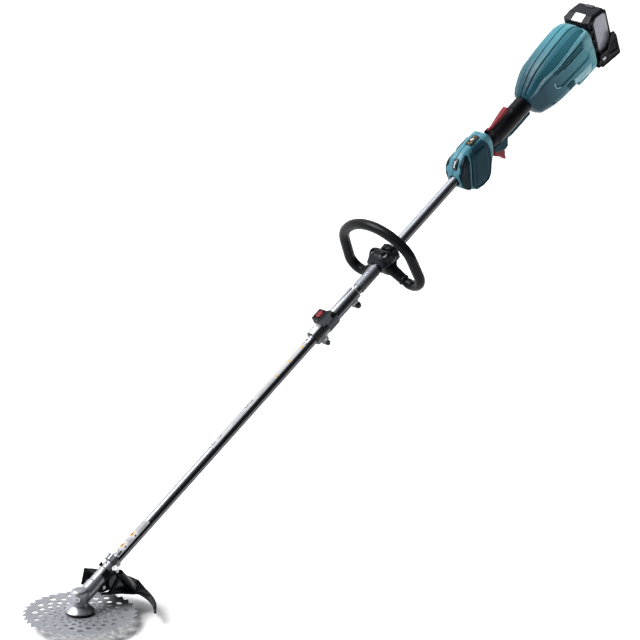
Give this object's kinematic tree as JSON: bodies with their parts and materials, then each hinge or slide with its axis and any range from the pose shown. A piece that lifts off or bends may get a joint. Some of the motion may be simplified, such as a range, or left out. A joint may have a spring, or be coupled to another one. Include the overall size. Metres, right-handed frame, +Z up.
{
  "type": "brush cutter",
  "caption": "Long-handled cutter with a round saw blade and angled gear head on a split pipe, a loop handle, a trigger grip and a rear motor with a slide-on battery.",
  "frame": {"origin": "centre of the lower face of the ground cup under the blade, on the spindle's axis", "axes": "+Z up the blade spindle, +X back along the tool to the operator (the pipe rises 30 degrees from +X), +Y to the operator's right"},
  "size_m": [1.677, 0.23, 0.9825],
  "materials": {
    "alloy_pipe": "bright drawn tube",
    "cast_alloy": "fine cast",
    "steel": "satin",
    "blade_steel": "satin with light wear",
    "black_plastic": "fine grain",
    "grey_plastic": "fine grain",
    "teal_plastic": "satin",
    "dark_teal_plastic": "satin",
    "red_plastic": "satin",
    "rubber": "soft matte",
    "copper_motor": "laminated",
    "board": "coated"
  },
  "bodies": {
    "power_unit": {"main_pipe": "alloy_pipe", "coupling_tube": "alloy_pipe", "coupling_body": "grey_plastic", "coupling_collar": "grey_plastic", "coupling_screws": "steel", "spacer_sleeve": "grey_plastic", "upper_bushes": "rubber", "control_box_left": "teal_plastic", "control_box_right": "teal_plastic", "side_panels": "dark_teal_plastic", "display_panel": "black_plastic", "control_board": "board", "grip_sleeve": "rubber", "trigger_housing": "dark_teal_plastic", "trigger_spring": "steel", "housing_left": "teal_plastic", "housing_right": "teal_plastic", "housing_screws": "steel", "motor_stator": "copper_motor", "controller": "grey_plastic", "battery_terminal": "black_plastic", "battery_guard": "grey_plastic"},
    "attachment": {"lower_pipe": "alloy_pipe", "gear_case": "cast_alloy", "skirt_cone": "cast_alloy", "seal_ring": "rubber", "grease_plug": "steel", "head_bolts": "steel", "bearings": "steel", "shaft_bushes": "rubber", "guard_shell": "black_plastic", "guard_clamp": "black_plastic"},
    "lower_drive": {"lower_shaft": "steel", "pinion": "steel"},
    "blade_set": {"spindle": "steel", "output_gear": "steel", "receive_washer": "steel", "saw_blade": "blade_steel", "blade_tips": "blade_steel", "clamp_washer": "steel", "ground_cup": "steel", "blade_nut": "steel"},
    "upper_drive": {"upper_shaft": "steel", "drive_socket": "steel", "rotor": "steel", "fan": "black_plastic"},
    "handle": {"handle_loop": "rubber", "handle_clamp_top": "black_plastic", "handle_clamp_base": "black_plastic", "handle_bolts": "steel"},
    "lock_ring_body": {"lock_ring": "black_plastic"},
    "clamp_lever_body": {"clamp_lever": "black_plastic"},
    "release_button_body": {"release_button": "red_plastic"},
    "thumb_knob_body": {"thumb_knob": "black_plastic"},
    "power_button_body": {"power_button": "grey_plastic"},
    "reverse_button_body": {"reverse_button": "black_plastic"},
    "trigger_body": {"trigger": "red_plastic"},
    "lock_lever_body": {"lock_lever": "red_plastic"},
    "battery": {"battery_case": "black_plastic"},
    "battery_button_body": {"battery_button": "grey_plastic"}
  },
  "joints": [
    {"name": "blade_spin", "type": "hinge", "parent": "attachment", "child": "blade_set", "pos_m": [0, 0, 0.03], "axis": [0, 0, 1], "continuous": true},
    {"name": "lower_shaft_spin", "type": "hinge", "parent": "attachment", "child": "lower_drive", "pos_m": [0, 0, 0.053], "axis": [0.866, 0, 0.5], "continuous": true},
    {"name": "motor_spin", "type": "hinge", "parent": "power_unit", "child": "upper_drive", "pos_m": [0, 0, 0.053], "axis": [0.866, 0, 0.5], "continuous": true},
    {"name": "attachment_slide", "type": "slide", "parent": "power_unit", "child": "attachment", "axis": [-0.866, 0, -0.5], "range_m": [0, 0.06]},
    {"name": "handle_slide", "type": "slide", "parent": "power_unit", "child": "handle", "axis": [0.866, 0, 0.5], "range_m": [0, 0.15]},
    {"name": "lock_ring_turn", "type": "hinge", "parent": "handle", "child": "lock_ring_body", "pos_m": [0.89287, 0, 0.5685], "axis": [0.866, 0, 0.5], "range_deg": [0, 60]},
    {"name": "clamp_lever_swing", "type": "hinge", "parent": "power_unit", "child": "clamp_lever_body", "pos_m": [0.69243, 0, 0.42968], "axis": [0, 1, 0], "range_deg": [0, 50]},
    {"name": "thumb_knob_turn", "type": "hinge", "parent": "power_unit", "child": "thumb_knob_body", "pos_m": [0.79256, 0, 0.47825], "axis": [-0.5, 0, 0.866], "range_deg": [-180, 180]},
    {"name": "release_button_press", "type": "slide", "parent": "power_unit", "child": "release_button_body", "axis": [0.5, 0, -0.866], "range_m": [0, 0.003], "stiffness_N_per_m": 600, "springref_m": -0.001},
    {"name": "power_button_press", "type": "slide", "parent": "power_unit", "child": "power_button_body", "axis": [0.4067, 0, -0.9135], "range_m": [0, 0.001], "stiffness_N_per_m": 800, "springref_m": -0.0005},
    {"name": "reverse_button_press", "type": "slide", "parent": "power_unit", "child": "reverse_button_body", "axis": [0.9455, 0, -0.3256], "range_m": [0, 0.001], "stiffness_N_per_m": 800, "springref_m": -0.0005},
    {"name": "trigger_pull", "type": "hinge", "parent": "power_unit", "child": "trigger_body", "pos_m": [1.20995, 0, 0.72731], "axis": [0, -1, 0], "range_deg": [0, 10], "stiffness_Nm_per_rad": 2, "springref_deg": -5.16, "deforming": ["trigger_spring"]},
    {"name": "lock_lever_press", "type": "hinge", "parent": "power_unit", "child": "lock_lever_body", "pos_m": [1.19542, 0, 0.77147], "axis": [0, 1, 0], "range_deg": [0, 4], "stiffness_Nm_per_rad": 1.5, "springref_deg": -5.16},
    {"name": "battery_slide", "type": "slide", "parent": "power_unit", "child": "battery", "axis": [-0.309, 0, 0.9511], "range_m": [0, 0.095]},
    {"name": "battery_button_press", "type": "slide", "parent": "battery", "child": "battery_button_body", "axis": [0.309, 0, -0.9511], "range_m": [0, 0.003], "stiffness_N_per_m": 600, "springref_m": -0.001}
  ],
  "couplings": [
    {"joint": "lower_shaft_spin", "follows": "blade_spin", "ratio": -1.3571},
    {"joint": "motor_spin", "follows": "blade_spin", "ratio": -1.3571}
  ]
}
